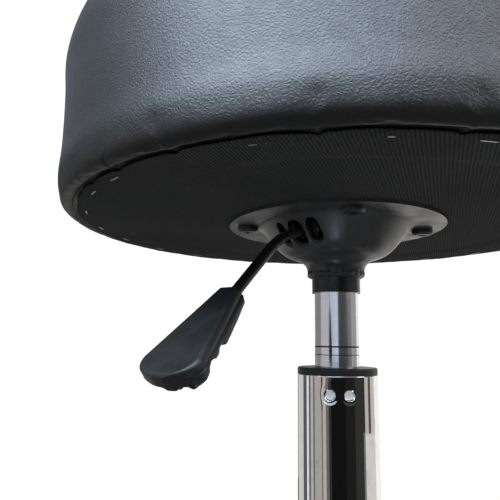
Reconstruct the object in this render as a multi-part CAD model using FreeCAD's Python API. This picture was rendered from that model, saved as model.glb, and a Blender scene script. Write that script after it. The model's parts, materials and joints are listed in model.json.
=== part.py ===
"""Rolling stylist stool: a round upholstered seat on a gas lift, standing on a five-star base with casters.

Millimetres. +Z is up and the origin is on the column's axis at floor level. The stool is at its lowest
height. Each sub-part has its own function, which returns the shape that is written to parts/NODE.step.
"""

import FreeCAD
import Part

import math
import os

V = FreeCAD.Vector
UP = V(0, 0, 1)
CENTRE = V(0, 0, 0)

# ---- driving dimensions --------------------------------------------------------------------------

PLATE_Z = 374.0             # underside of the mounting plate's flange, above the floor

LEATHER = 1.2               # leather thickness
FOAM_GAP = 0.2              # between the leather and the foam
BOARD_R = 167.0
BOARD_BOTTOM = PLATE_Z + 2.6
BOARD_TOP = BOARD_BOTTOM + 12.0
BOARD_HOLE_R = 28.0         # room for the lever's inner end
HEM_R = 140.0               # inner edge of the leather under the board
HEM_BOTTOM = PLATE_Z + 1.3

CLOTH = 0.6                 # dust cloth thickness
CLOTH_R = 163.0
CLOTH_HOLE_R = 40.0
CLOTH_EDGE_Z = HEM_BOTTOM - CLOTH - 0.05
CLOTH_STAPLE_R = 158.5
CLOTH_STAPLE_ANGLES = (
    -174.0, -157.3, -140.7, -130.0, -100.5, -83.3, -69.0, -54.0, -38.0, -22.0, -6.0,
    10.5, 27.0, 43.5, 60.0, 76.0, 92.0, 108.0, 124.0, 140.0, 155.5, 171.5,
)
HEM_STAPLES = 36
HEM_STAPLE_R = 148.0
STAPLE_WIDTH = 7.3
STAPLE_WIRE = 0.6
STAPLE_LEG = 6.0

PLATE_R = 70.0
PLATE_T = 2.0
SCREW_CIRCLE_R = 58.0
SCREW_ANGLES = (-80.0, 10.0, 100.0, 190.0)
SCREW_R = 3.0
SCREW_HEAD_R = 6.75
SCREW_HEAD = 3.5
SCREW_LENGTH = 15.5

LEVER_ANGLE = -121.0        # direction of the lever, seen from above
PIVOT_RHO = 33.0            # lever pivot, from the column's axis
PIVOT_R = 2.0
ROD_R = 3.0                 # lever rod
ROD_CENTRE_Z = PLATE_Z + 3.45   # height of the rod's axis over the column's axis
ROD_SLOPE = math.radians(16.5)
ROD_DROOP = math.radians(43.0)
ROD_BEND_RHO = 60.0
ROD_BEND_R = 60.0
ROD_END_RHO = 110.0
SLOTS = (                   # side by side along the lever: place across it, inner end, outer end, width
    (-1.0, 34.0, 48.0, 10.5), (10.2, 34.0, 47.0, 8.4), (-12.0, 33.5, 46.5, 6.4),
)

HANDLE_RHO = 100.0          # start of the paddle, from the column's axis
HANDLE_DROOP = math.degrees(ROD_DROOP)
HANDLE_LENGTH = 60.5
HANDLE_NECK = 6.6           # half width where the rod enters
HANDLE_WIDE = 18.8          # half width near the end
HANDLE_ROUND = 11.5         # length of the rounded end
HANDLE_TOP = 5.5            # above the rod's axis
HANDLE_UNDER = 6.0          # below the rod's axis
FINGER_GRIPS = (33.0, 43.8) # grooves across the underside, from the neck
HANDLE_TOE = 54.0           # where the underside starts to rise to the tip

PISTON_R = 14.0             # gas cylinder, the bright tube that rises out of the column
CYLINDER_BORE_R = 12.6
PISTON_BOTTOM = 81.0
PISTON_TOP = PLATE_Z - 8.0
TAPER_Z = 331.0             # the taper starts at the socket's lower end
TAPER_TOP_R = 13.2
GROOVES = ((297.0, 0.5, 0.4), (292.0, 0.3, 0.25))   # height, half width and depth of the rolled grooves
PIN_R = 4.0
PIN_BOTTOM = 347.0
PIN_TOP = PLATE_Z - 0.8      # just under the lever's inner end
VALVE_BOTTOM = 330.0
VALVE_TOP = 350.0
GUIDE_TOP = 97.0            # top of the rod guide and seal
TUBE_R = 11.0
TUBE_BORE_R = 10.0

SOCKET_R = 15.5
SOCKET_TOP = PISTON_TOP + 1.0
WELD_TOP = PLATE_Z - 28.0

GAS_ROD_R = 5.0
GAS_ROD_TOP = 260.0
PISTON_HEAD = 15.0
CLIP_Z = 57.4
CLIP_T = 2.0
FIT = 0.06                  # radial clearance of a running fit
SEAM = 0.02                 # radial clearance of parts that are pressed together

COLUMN_R = 25.0
COLUMN_WALL = 2.0
COLUMN_TOP = 280.0
COLUMN_BOTTOM = 60.0
COLUMN_TAPER_Z = 118.0      # the column narrows below this height
COLUMN_FOOT_R = 23.7
BUSHING_FLANGE = 4.3
BUSHING_SLEEVE = 70.0
CRIMP_Z = PLATE_Z - 104.8
CRIMP_ANGLES = (-100.7, -73.3, 79.3, 106.7)
CRIMP_R = 3.4
CRIMP_DEPTH = 0.7

DISC_BOTTOM = 60.5
DISC_TOP = 64.0
RACE_T = 2.5
BALL_R = 1.75
BALLS = 12
BALL_CIRCLE_R = 9.0
RACE_GAP = 3.6              # between the races, a little over a ball's diameter
BUMP_TOP = 80.5

HUB_R = 34.0
HUB_BOTTOM = 60.0
HUB_SHOULDER_Z = 104.0
LEGS = 5
FIRST_LEG_ANGLE = -90.0
STEM_CIRCLE_R = 215.0       # caster stems, from the column's axis
LEG_TIP_R = 12.5
LEG_WALL = 2.0
LEG_ROOT_WIDTH = 17.0       # half width at the hub
LEG_ROOT_TOP = 101.0
LEG_TIP_TOP = 84.0
LEG_ROOT_BOTTOM = 64.0
LEG_TIP_BOTTOM = 61.0

STEM_R = 5.4
SOCKET_BORE_R = 5.55
STEM_TOP = 80.0
WHEEL_R = 25.0
WHEEL_WIDTH = 14.0
WHEEL_INNER_X = 7.5         # inner face of each wheel, from the caster's middle
TRAIL = 22.0                # axle behind the stem
AXLE_R = 3.0
HOOD_GAP = 1.0              # between a wheel's tread and the hood
HOOD_T = 2.4
HOOD_HALF = 22.5
HOOD_TOP = 58.0


# ---- helpers -------------------------------------------------------------------------------------

def face_of(points):
    """Flat face inside a closed line of points."""
    return Part.Face(Part.makePolygon(list(points) + [points[0]]))


def turned(profile):
    """Solid of revolution about +Z of a closed (radius, height) outline."""
    return face_of([V(r, 0, z) for r, z in profile]).revolve(CENTRE, UP, 360)


def rod(radius, bottom, top, x=0.0, y=0.0):
    """Upright cylinder."""
    return Part.makeCylinder(radius, top - bottom, V(x, y, bottom), UP)


def ring(outer, inner, bottom, top, x=0.0, y=0.0):
    """Upright cylinder with a bore right through."""
    return rod(outer, bottom, top, x, y).cut(rod(inner, bottom - 1, top + 1, x, y))


def cross_rod(radius, half_length, x, y, z, axis=V(0, 1, 0)):
    """Cylinder centred on a point, lying along an axis."""
    start = V(x, y, z) - axis * half_length
    return Part.makeCylinder(radius, 2 * half_length, start, axis)


def block(x0, x1, y0, y1, z0, z1):
    return Part.makeBox(x1 - x0, y1 - y0, z1 - z0, V(x0, y0, z0))


def spun(shape, angle, centre=CENTRE):
    """Copy turned about an upright axis, in degrees."""
    copy = shape.copy()
    copy.rotate(centre, UP, angle)
    return copy


def around(shape, angles):
    """The same solid at several angles, kept as separate solids."""
    return Part.makeCompound([spun(shape, angle) for angle in angles])


def even_angles(count, first=0.0):
    return [first + 360.0 * i / count for i in range(count)]


def joined(*shapes):
    return shapes[0].fuse(list(shapes[1:])).removeSplitter()


def softened(shape, radius, chosen):
    """Round the edges that chosen() picks."""
    return shape.makeFillet(radius, [edge for edge in shape.Edges if chosen(edge)])


def is_level(edge, z):
    box = edge.BoundBox
    return abs(box.ZMin - z) < 1e-3 and abs(box.ZMax - z) < 1e-3


# ---- seat ----------------------------------------------------------------------------------------

# The cushion's outline over the leather, from crown to hem, as (radius, height above the plate).
CUSHION = [
    (0.0, 120.0), (62.0, 118.2), (124.5, 113.0), (143.6, 110.9), (159.9, 105.1), (170.7, 96.3),
    (174.5, 84.0), (173.7, 47.0), (174.5, 16.0), (173.2, 6.0), (170.5, 2.4), (166.0, 1.3),
]

# The pressed plate's underside, from the flange down to the neck around the socket.
DOME = [
    (53.0, 0.0), (49.0, -1.6), (45.0, -6.0), (41.0, -10.5), (37.0, -14.9), (30.0, -19.5), (22.0, -22.7),
    (18.8, -24.8), (17.55, -28.0),
]


def inset(points, depth):
    """An outline moved sideways by depth, square to its own direction."""
    moved = []
    for i, (r, z) in enumerate(points):
        r0, z0 = points[max(i - 1, 0)]
        r1, z1 = points[min(i + 1, len(points) - 1)]
        length = math.hypot(r1 - r0, z1 - z0)
        moved.append((r + depth * (z1 - z0) / length, z - depth * (r1 - r0) / length))
    return moved


def outline(points, start, end, depth=0.0):
    """Smooth edge through an outline, from its start direction to its end direction."""
    moved = inset(points, depth) if depth else list(points)
    moved[0] = (points[0][0], moved[0][1])
    curve = Part.BSplineCurve()
    places = [V(r, 0, PLATE_Z + z) for r, z in moved]
    curve.interpolate(Points=places, InitialTangent=start, FinalTangent=end)
    return curve.toShape()


def cushion_edge(depth):
    return outline(CUSHION, V(60, 0, 0), V(-5, 0, 0), depth)


def ends(edge):
    return edge.valueAt(edge.FirstParameter), edge.valueAt(edge.LastParameter)


def revolved(edges):
    """Solid of revolution of a closed chain of edges."""
    wire = Part.Wire(Part.__sortEdges__(edges))
    return Part.Face(wire).revolve(CENTRE, UP, 360)


def seat_cover():
    outside = cushion_edge(0.0)
    inside = cushion_edge(LEATHER)
    crown_out, low_out = ends(outside)
    crown_in, low_in = ends(inside)
    hem = Part.makePolygon([low_out, V(HEM_R, 0, HEM_BOTTOM), V(HEM_R, 0, HEM_BOTTOM + LEATHER), low_in])
    return revolved([outside] + hem.Edges + [inside, Part.makeLine(crown_in, crown_out)])


def seat_foam():
    side = cushion_edge(LEATHER + FOAM_GAP)
    crown, low = ends(side)
    base = Part.makePolygon([low, V(0, 0, low.z), crown])
    foam = revolved([side] + base.Edges)
    below = rod(BOARD_R + FOAM_GAP, PLATE_Z - 20, BOARD_TOP + 0.05)
    skirt = ring(SOCKET_R + 200, BOARD_R - 5, PLATE_Z - 20, BOARD_BOTTOM + 1)
    recess = rod(10.5, BOARD_TOP - 1, BOARD_TOP + 1.8, SCREW_CIRCLE_R)
    return foam.cut([below, skirt] + around(recess, SCREW_ANGLES).Solids)


def seat_board():
    disc = softened(rod(BOARD_R, BOARD_BOTTOM, BOARD_TOP), 1.5, lambda edge: is_level(edge, BOARD_BOTTOM))
    nut_hole = rod(3.95, BOARD_BOTTOM - 1, BOARD_TOP + 1, SCREW_CIRCLE_R)
    middle_hole = rod(BOARD_HOLE_R, BOARD_BOTTOM - 1, BOARD_TOP + 1)
    return disc.cut([middle_hole] + around(nut_hole, SCREW_ANGLES).Solids)


def tee_nuts():
    flange = rod(9.5, BOARD_TOP, BOARD_TOP + 1.2, SCREW_CIRCLE_R)
    barrel = rod(3.9, BOARD_TOP - 9, BOARD_TOP + 1.2, SCREW_CIRCLE_R)
    bore = rod(SCREW_R + SEAM, BOARD_TOP - 10, BOARD_TOP + 2, SCREW_CIRCLE_R)
    return around(joined(flange, barrel).cut(bore), SCREW_ANGLES)


def dust_cover():
    flat = PLATE_Z + PLATE_T
    cloth = turned([
        (CLOTH_HOLE_R, flat), (133, flat), (138, CLOTH_EDGE_Z), (CLOTH_R, CLOTH_EDGE_Z),
        (CLOTH_R, CLOTH_EDGE_Z + CLOTH), (138, CLOTH_EDGE_Z + CLOTH), (133, flat + CLOTH),
        (CLOTH_HOLE_R, flat + CLOTH),
    ])
    screw_hole = rod(SCREW_R + 0.3, flat - 1, flat + 2, SCREW_CIRCLE_R)
    return cloth.cut(around(screw_hole, SCREW_ANGLES).Solids)


def staple(radius, crown_z):
    """Wire staple driven upwards, its crown lying round the seat."""
    half = STAPLE_WIDTH / 2
    depth = STAPLE_WIRE / 2
    shape = block(radius - depth, radius + depth, -half, half, crown_z, crown_z + STAPLE_LEG)
    inner = half - STAPLE_WIRE
    return shape.cut(block(radius - 2, radius + 2, -inner, inner, crown_z + STAPLE_WIRE, crown_z + 20))


def dust_cover_staples():
    return around(staple(CLOTH_STAPLE_R, CLOTH_EDGE_Z - STAPLE_WIRE), CLOTH_STAPLE_ANGLES)


def cover_staples():
    return around(staple(HEM_STAPLE_R, HEM_BOTTOM), even_angles(HEM_STAPLES, 5.0))


def dome_slot(across, start, end, width):
    """Cutter of a slot with round ends that runs along the lever."""
    cutter = block(start, end, across - width / 2, across + width / 2, PLATE_Z - 30, PLATE_Z + 5)
    return spun(softened(cutter, width / 2 - 0.01, lambda edge: edge.BoundBox.ZLength > 30), LEVER_ANGLE)


def mount_plate():
    under = outline(DOME, V(-6, 0, 0), V(-0.6, 0, -3))
    upper = outline(DOME, V(-6, 0, 0), V(-0.6, 0, -3), PLATE_T)
    flange_under, neck_under = ends(under)
    flange_upper, neck_upper = ends(upper)
    rim = Part.makePolygon([
        flange_upper, V(PLATE_R, 0, PLATE_Z + PLATE_T), V(PLATE_R, 0, PLATE_Z), flange_under,
    ])
    plate = revolved([under, Part.makeLine(neck_under, neck_upper), upper] + rim.Edges)
    holes = around(rod(SCREW_R + 0.3, PLATE_Z - 5, PLATE_Z + 5, SCREW_CIRCLE_R), SCREW_ANGLES).Solids
    return plate.cut(holes + [dome_slot(*slot) for slot in SLOTS])


def mount_screws():
    shank = rod(SCREW_R, PLATE_Z - 1, PLATE_Z + SCREW_LENGTH)
    head = softened(rod(SCREW_HEAD_R, PLATE_Z - SCREW_HEAD, PLATE_Z), 2.2,
                    lambda edge: is_level(edge, PLATE_Z - SCREW_HEAD))
    slot = block(-2.8, 2.8, -0.65, 0.65, PLATE_Z - 5, PLATE_Z - 1.2)
    screw = joined(shank, head).cut([slot, spun(slot, 90)])
    screw.translate(V(SCREW_CIRCLE_R, 0, 0))
    return around(screw, SCREW_ANGLES)


def taper_r(z, gap=0.0):
    """Radius of the lift's upper taper at a height."""
    share = (z - TAPER_Z) / (PISTON_TOP - TAPER_Z)
    return PISTON_R + (TAPER_TOP_R - PISTON_R) * share + gap


def taper_socket():
    tube = turned([
        (taper_r(TAPER_Z, SEAM), TAPER_Z), (SOCKET_R, TAPER_Z), (SOCKET_R, SOCKET_TOP),
        (taper_r(SOCKET_TOP, SEAM), SOCKET_TOP),
    ])
    weld = turned([
        (SOCKET_R - 0.3, WELD_TOP - 0.05), (17.7, WELD_TOP - 0.05), (18.1, WELD_TOP - 2.0),
        (17.4, WELD_TOP - 4.0), (SOCKET_R - 0.3, WELD_TOP - 5.5),
    ])
    return joined(tube, weld)


def lever_bracket():
    web = block(SOCKET_R + 0.2, SOCKET_R + 2.2, -8.8, 8.8, PLATE_Z - 18, PLATE_Z - 8)
    outline_points = [(SOCKET_R + 0.2, -2), (37, -2), (37, -8), (33, -12), (SOCKET_R + 0.2, -18)]
    cheek = face_of([V(x, 6.8, PLATE_Z + z) for x, z in outline_points]).extrude(V(0, 2, 0))
    other = cheek.mirror(CENTRE, V(0, 1, 0))
    hole = cross_rod(PIVOT_R + SEAM, 20, PIVOT_RHO, 0, pivot_z())
    return spun(joined(web, cheek, other).cut(hole), LEVER_ANGLE)


def lever_pivot_pin():
    shaft = cross_rod(PIVOT_R, 9.6, PIVOT_RHO, 0, pivot_z())
    head = Part.makeCylinder(3.2, 0.9, V(PIVOT_RHO, 8.85, pivot_z()), V(0, 1, 0))
    tail = Part.makeCylinder(3.2, 0.9, V(PIVOT_RHO, -9.75, pivot_z()), V(0, 1, 0))
    return spun(joined(shaft, head, tail), LEVER_ANGLE)


# ---- lever ---------------------------------------------------------------------------------------

def inner_rod_z(rho):
    return ROD_CENTRE_Z - rho * math.tan(ROD_SLOPE)


def outer_rod_z(rho):
    return inner_rod_z(ROD_BEND_RHO) - (rho - ROD_BEND_RHO) * math.tan(ROD_DROOP)


def pivot_z():
    return inner_rod_z(PIVOT_RHO)


def rod_path():
    """The rod's centre line: a straight inner run, one bend and a straight outer run."""
    tangent = ROD_BEND_R * math.tan((ROD_DROOP - ROD_SLOPE) / 2)
    start = V(-2.5, 0, inner_rod_z(-2.5))
    corner = V(ROD_BEND_RHO, 0, inner_rod_z(ROD_BEND_RHO))
    bend_in = corner - V(math.cos(ROD_SLOPE), 0, -math.sin(ROD_SLOPE)) * tangent
    bend_out = corner + V(math.cos(ROD_DROOP), 0, -math.sin(ROD_DROOP)) * tangent
    middle = (ROD_SLOPE + ROD_DROOP) / 2
    sagitta = ROD_BEND_R * (1 / math.cos((ROD_DROOP - ROD_SLOPE) / 2) - 1)
    crest = corner - V(math.sin(middle), 0, math.cos(middle)) * sagitta
    end = V(ROD_END_RHO, 0, outer_rod_z(ROD_END_RHO))
    bend = Part.Arc(bend_in, crest, bend_out).toShape()
    return Part.Wire([Part.makeLine(start, bend_in), bend, Part.makeLine(bend_out, end)])


def lever_rod():
    path = rod_path()
    start = path.Edges[0].Vertexes[0].Point
    section = Part.Wire(Part.makeCircle(ROD_R, start, V(math.cos(ROD_SLOPE), 0, -math.sin(ROD_SLOPE))))
    bar = path.makePipeShell([section], True, False)
    boss = cross_rod(5.0, 6.0, PIVOT_RHO, 0, pivot_z())
    bore = cross_rod(PIVOT_R + FIT, 8.0, PIVOT_RHO, 0, pivot_z())
    return spun(bar.fuse(boss).cut(bore), LEVER_ANGLE)


def handle_plan():
    """Face of the paddle seen from above, growing from the neck to the rounded end."""
    flank = HANDLE_LENGTH - HANDLE_ROUND
    near_left, far_left = V(0, HANDLE_NECK, 0), V(flank, HANDLE_WIDE, 0)
    near_right, far_right = V(0, -HANDLE_NECK, 0), V(flank, -HANDLE_WIDE, 0)
    tip = Part.BSplineCurve()
    lean = V(flank, HANDLE_WIDE - HANDLE_NECK, 0)
    tip.interpolate(Points=[far_left, V(HANDLE_LENGTH, 0, 0), far_right], InitialTangent=lean * 0.6,
                    FinalTangent=V(-lean.x, lean.y, 0) * 0.6)
    sides = Part.makePolygon([far_right, near_right, near_left, far_left])
    return Part.Face(Part.Wire(Part.__sortEdges__(sides.Edges + [tip.toShape()])))


def lever_handle():
    plan = handle_plan()
    plan.translate(V(0, 0, -HANDLE_UNDER))
    paddle = plan.extrude(V(0, 0, HANDLE_UNDER + HANDLE_TOP))
    paddle = softened(paddle, 2.0, lambda edge: is_level(edge, HANDLE_TOP) or is_level(edge, -HANDLE_UNDER))
    finger_grips = [cross_rod(7.0, 30, x, 0, -HANDLE_UNDER - 4.4) for x in FINGER_GRIPS]
    below, beyond = -HANDLE_UNDER - 1, HANDLE_LENGTH + 1
    slope = face_of([V(HANDLE_TOE, -30, below), V(beyond, -30, below), V(beyond, -30, -1)])
    toe = slope.extrude(V(0, 60, 0))
    rod_hole = Part.makeCylinder(ROD_R + SEAM, 25, V(-5, 0, 0), V(1, 0, 0))
    handle = paddle.cut(finger_grips + [toe, rod_hole])
    handle.rotate(CENTRE, V(0, 1, 0), HANDLE_DROOP)
    handle.translate(V(HANDLE_RHO, 0, outer_rod_z(HANDLE_RHO)))
    return spun(handle, LEVER_ANGLE)


# ---- gas lift ------------------------------------------------------------------------------------

def gas_cylinder():
    shell = turned([
        (0, PISTON_BOTTOM), (PISTON_R, PISTON_BOTTOM), (PISTON_R, TAPER_Z), (TAPER_TOP_R, PISTON_TOP),
        (0, PISTON_TOP),
    ])
    cavity = rod(CYLINDER_BORE_R, PISTON_BOTTOM + 2, VALVE_TOP)
    lip = rod(GAS_ROD_R + 0.6, PISTON_BOTTOM - 1, PISTON_BOTTOM + 3)
    pin_hole = rod(PIN_R + FIT, VALVE_TOP - 1, PISTON_TOP + 1)
    grooves = [ring(PISTON_R + 1, PISTON_R - depth, z - half, z + half) for z, half, depth in GROOVES]
    return shell.cut([cavity, lip, pin_hole] + grooves)


def rod_guide():
    return ring(CYLINDER_BORE_R - SEAM, GAS_ROD_R + FIT, PISTON_BOTTOM + 2, GUIDE_TOP - 5)


def rod_seal():
    return ring(CYLINDER_BORE_R - SEAM, GAS_ROD_R + FIT, GUIDE_TOP - 4.9, GUIDE_TOP - 0.1)


def pressure_tube():
    return ring(TUBE_R, TUBE_BORE_R, GUIDE_TOP, VALVE_BOTTOM)


def valve_body():
    body = ring(CYLINDER_BORE_R - SEAM, PIN_R + FIT, VALVE_BOTTOM + 11, VALVE_TOP - 0.1)
    return joined(body, rod(CYLINDER_BORE_R - SEAM, VALVE_BOTTOM + 0.1, VALVE_BOTTOM + 11))


def release_pin():
    return softened(rod(PIN_R, PIN_BOTTOM, PIN_TOP), 1.2, lambda edge: is_level(edge, PIN_TOP))


def piston_rod():
    groove = ring(GAS_ROD_R + 1, GAS_ROD_R - 1, CLIP_Z, CLIP_Z + CLIP_T)
    return rod(GAS_ROD_R, CLIP_Z - 1.6, GAS_ROD_TOP).cut(groove)


def piston():
    return ring(TUBE_BORE_R - FIT, GAS_ROD_R + SEAM, GAS_ROD_TOP - PISTON_HEAD, GAS_ROD_TOP)


def rod_clip():
    clip = ring(8.0, GAS_ROD_R - 1 + SEAM, CLIP_Z + SEAM, CLIP_Z + CLIP_T - SEAM)
    return clip.cut(block(0, 10, -2.6, 2.6, CLIP_Z - 1, CLIP_Z + CLIP_T + 1))


def upper_race_z():
    return DISC_TOP + RACE_T + RACE_GAP


def thrust_race_lower():
    return ring(12.5, GAS_ROD_R + 0.5, DISC_TOP, DISC_TOP + RACE_T)


def thrust_race_upper():
    return ring(12.5, GAS_ROD_R + SEAM, upper_race_z(), upper_race_z() + RACE_T)


def ball_places():
    height = DISC_TOP + RACE_T + RACE_GAP / 2
    return [(math.radians(angle), height) for angle in even_angles(BALLS)]


def balls(radius):
    return [
        Part.makeSphere(radius, V(BALL_CIRCLE_R * math.cos(a), BALL_CIRCLE_R * math.sin(a), z))
        for a, z in ball_places()
    ]


def thrust_balls():
    return Part.makeCompound(balls(BALL_R))


def thrust_cage():
    middle = DISC_TOP + RACE_T + RACE_GAP / 2
    return ring(11.6, 6.2, middle - 0.6, middle + 0.6).cut(balls(BALL_R + 0.05))


def bump_stop():
    return ring(11.0, GAS_ROD_R + SEAM, upper_race_z() + RACE_T + 0.05, BUMP_TOP)


def column_inner_r(z):
    """Inside radius of the column, which follows the taper of its foot."""
    share = min(max((COLUMN_TAPER_Z - z) / (COLUMN_TAPER_Z - COLUMN_BOTTOM), 0.0), 1.0)
    return COLUMN_R - COLUMN_WALL + (COLUMN_FOOT_R - COLUMN_R) * share


def column_tube():
    tube = turned([
        (COLUMN_FOOT_R - COLUMN_WALL, COLUMN_BOTTOM), (COLUMN_FOOT_R, COLUMN_BOTTOM),
        (COLUMN_R, COLUMN_TAPER_Z), (COLUMN_R, COLUMN_TOP), (COLUMN_R - COLUMN_WALL, COLUMN_TOP),
        (COLUMN_R - COLUMN_WALL, COLUMN_TAPER_Z),
    ])
    ball_r = (CRIMP_R ** 2 + CRIMP_DEPTH ** 2) / (2 * CRIMP_DEPTH)
    dent = Part.makeSphere(ball_r, V(COLUMN_R + ball_r - CRIMP_DEPTH, 0, CRIMP_Z))
    return tube.cut(around(dent, CRIMP_ANGLES).Solids)


def column_bushing():
    sleeve = ring(COLUMN_R - COLUMN_WALL - SEAM, PISTON_R + FIT, COLUMN_TOP - BUSHING_SLEEVE, COLUMN_TOP + 1)
    flange = softened(ring(COLUMN_R, PISTON_R + FIT, COLUMN_TOP, COLUMN_TOP + BUSHING_FLANGE), 1.0,
                      lambda edge: is_level(edge, COLUMN_TOP + BUSHING_FLANGE) and edge.BoundBox.XMax > 20)
    return joined(sleeve, flange)


def column_end_disc():
    lower = column_inner_r(DISC_BOTTOM) - SEAM
    upper = column_inner_r(DISC_TOP) - SEAM
    disc = Part.makeCone(lower, upper, DISC_TOP - DISC_BOTTOM, V(0, 0, DISC_BOTTOM), UP)
    return disc.cut(rod(GAS_ROD_R + FIT, DISC_BOTTOM - 1, DISC_TOP + 1))


# ---- base ----------------------------------------------------------------------------------------

def base_hub():
    bore_foot = COLUMN_FOOT_R + SEAM
    return turned([
        (bore_foot, HUB_BOTTOM), (HUB_R - 2, HUB_BOTTOM), (HUB_R, HUB_BOTTOM + 2), (HUB_R, HUB_SHOULDER_Z),
        (HUB_R - 2, HUB_SHOULDER_Z + 4), (COLUMN_R + 4, COLUMN_TAPER_Z - 1.5),
        (COLUMN_R + 3, COLUMN_TAPER_Z), (COLUMN_R + SEAM, COLUMN_TAPER_Z),
    ])


def leg_blank(wall):
    """Outer form of a leg along +X, or the form of its hollow when wall is its thickness."""
    half = LEG_ROOT_WIDTH - wall
    tip_r = LEG_TIP_R - wall
    tip = STEM_CIRCLE_R
    arc = Part.Arc(V(tip, tip_r, 0), V(tip + tip_r, 0, 0), V(tip, -tip_r, 0)).toShape()
    root = HUB_R - 8
    sides = Part.makePolygon([V(tip, -tip_r, 0), V(root, -half, 0), V(root, half, 0), V(tip, tip_r, 0)])
    plan = Part.Face(Part.Wire(Part.__sortEdges__(sides.Edges + [arc]))).extrude(V(0, 0, 200))
    end = tip + LEG_TIP_R + 1
    drop = 30.0 if wall else 0.0
    root_top, middle_top, tip_top = (z - wall for z in (LEG_ROOT_TOP, LEG_ROOT_TOP - 8.0, LEG_TIP_TOP))
    crest = Part.Arc(V(root, -50, root_top), V(130, -50, middle_top), V(end, -50, tip_top)).toShape()
    rest = Part.makePolygon([
        V(end, -50, tip_top), V(end, -50, LEG_TIP_BOTTOM - drop), V(root, -50, LEG_ROOT_BOTTOM - drop),
        V(root, -50, root_top),
    ])
    side = Part.Face(Part.Wire(Part.__sortEdges__([crest] + rest.Edges))).extrude(V(0, 100, 0))
    return plan.common(side)


def base_leg(angle):
    def on_crest(edge):
        middle = edge.valueAt((edge.FirstParameter + edge.LastParameter) / 2)
        return edge.BoundBox.ZMin > LEG_TIP_TOP - 2 and middle.x > HUB_R
    shell = softened(leg_blank(0.0), 5.0, on_crest)
    leg = shell.cut([leg_blank(LEG_WALL), rod(HUB_R + SEAM, 0, 200)])
    return spun(leg, angle)


def leg_sockets():
    """Steel bushing under each leg's tip, which grips a caster stem."""
    bush = ring(8.0, SOCKET_BORE_R, LEG_TIP_BOTTOM, LEG_TIP_TOP - LEG_WALL - 0.6, STEM_CIRCLE_R)
    return around(bush, leg_angles())


def leg_angles():
    return even_angles(LEGS, FIRST_LEG_ANGLE)


def caster_stems():
    collar = rod(8.5, HOOD_TOP + 0.4, LEG_TIP_BOTTOM - 0.05, STEM_CIRCLE_R)
    stem = rod(STEM_R, 36.0, STEM_TOP, STEM_CIRCLE_R)
    groove = ring(STEM_R + 1, STEM_R - 0.8, 68.0, 71.0, STEM_CIRCLE_R)
    return around(joined(stem, collar).cut(groove), leg_angles())


def stem_grip_rings():
    grip = ring(SOCKET_BORE_R - SEAM, STEM_R - 0.75, 68.05, 70.95, STEM_CIRCLE_R)
    return around(grip.cut(block(STEM_CIRCLE_R, STEM_CIRCLE_R + 9, -0.8, 0.8, 60, 75)), leg_angles())


# ---- casters -------------------------------------------------------------------------------------

def hood_form():
    """Hood of a caster whose stem is on the origin's axis and whose wheels trail towards +Y."""
    along = V(1, 0, 0)
    dome_r = WHEEL_R + HOOD_GAP + HOOD_T
    dome = cross_rod(dome_r, HOOD_HALF, 0, TRAIL, WHEEL_R, along)
    dome = dome.common(block(-30, 30, TRAIL - dome_r - 1, TRAIL + dome_r * 0.72, WHEEL_R - 1, 80))
    boss = rod(9.5, 40.0, HOOD_TOP)
    web = block(-6.6, 6.6, -6.6, TRAIL + 6, 14, 45)
    nose = rod(6.6, 14, 45)
    wheel_room = [
        cross_rod(WHEEL_R + HOOD_GAP, 10, side * (WHEEL_INNER_X - 0.6 + 10), TRAIL, WHEEL_R, along)
        for side in (-1, 1)
    ]
    inside = cross_rod(WHEEL_R + HOOD_GAP, 8, 0, TRAIL, WHEEL_R, along)
    front = boss.fuse([dome.cut(inside), web, nose])
    stem_hole = rod(STEM_R + FIT, 35.5, HOOD_TOP + 5)
    axle_hole = cross_rod(AXLE_R + SEAM, 30, 0, TRAIL, WHEEL_R, along)
    return front.removeSplitter().cut(wheel_room + [stem_hole, axle_hole])


def axle_form():
    return cross_rod(AXLE_R, WHEEL_INNER_X + WHEEL_WIDTH - 1.5, 0, TRAIL, WHEEL_R, V(1, 0, 0))


def wheel_form(side):
    """Left (-1) or right (+1) wheel, dished on its outer face, with a blind hub over the axle's end."""
    along = V(1, 0, 0)
    inner = side * WHEEL_INNER_X
    middle = side * (WHEEL_INNER_X + WHEEL_WIDTH / 2)
    outer = side * (WHEEL_INNER_X + WHEEL_WIDTH)
    disc = cross_rod(WHEEL_R, WHEEL_WIDTH / 2, middle, TRAIL, WHEEL_R, along)
    disc = softened(disc, 2.0, lambda edge: edge.BoundBox.XLength < 1e-3)
    dish = cross_rod(19.0, 2.5, outer, TRAIL, WHEEL_R, along)
    hub = cross_rod(7.0, 2.0, outer - side * 2.0, TRAIL, WHEEL_R, along)
    recess = cross_rod(20.0, 4.0, inner, TRAIL, WHEEL_R, along)
    inner_hub = cross_rod(7.0, 2.0, inner + side * 2.0, TRAIL, WHEEL_R, along)
    bore = cross_rod(AXLE_R + FIT, WHEEL_WIDTH - 1, inner, TRAIL, WHEEL_R, along)
    return disc.cut([dish, recess]).fuse([hub, inner_hub]).removeSplitter().cut(bore)


def placed(form, angle):
    """A caster's piece under the tip of the leg at an angle, still trailing towards +Y."""
    piece = form.copy()
    turn = math.radians(angle)
    piece.translate(V(STEM_CIRCLE_R * math.cos(turn), STEM_CIRCLE_R * math.sin(turn), 0))
    return piece


# ---- nodes ---------------------------------------------------------------------------------------

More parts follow.
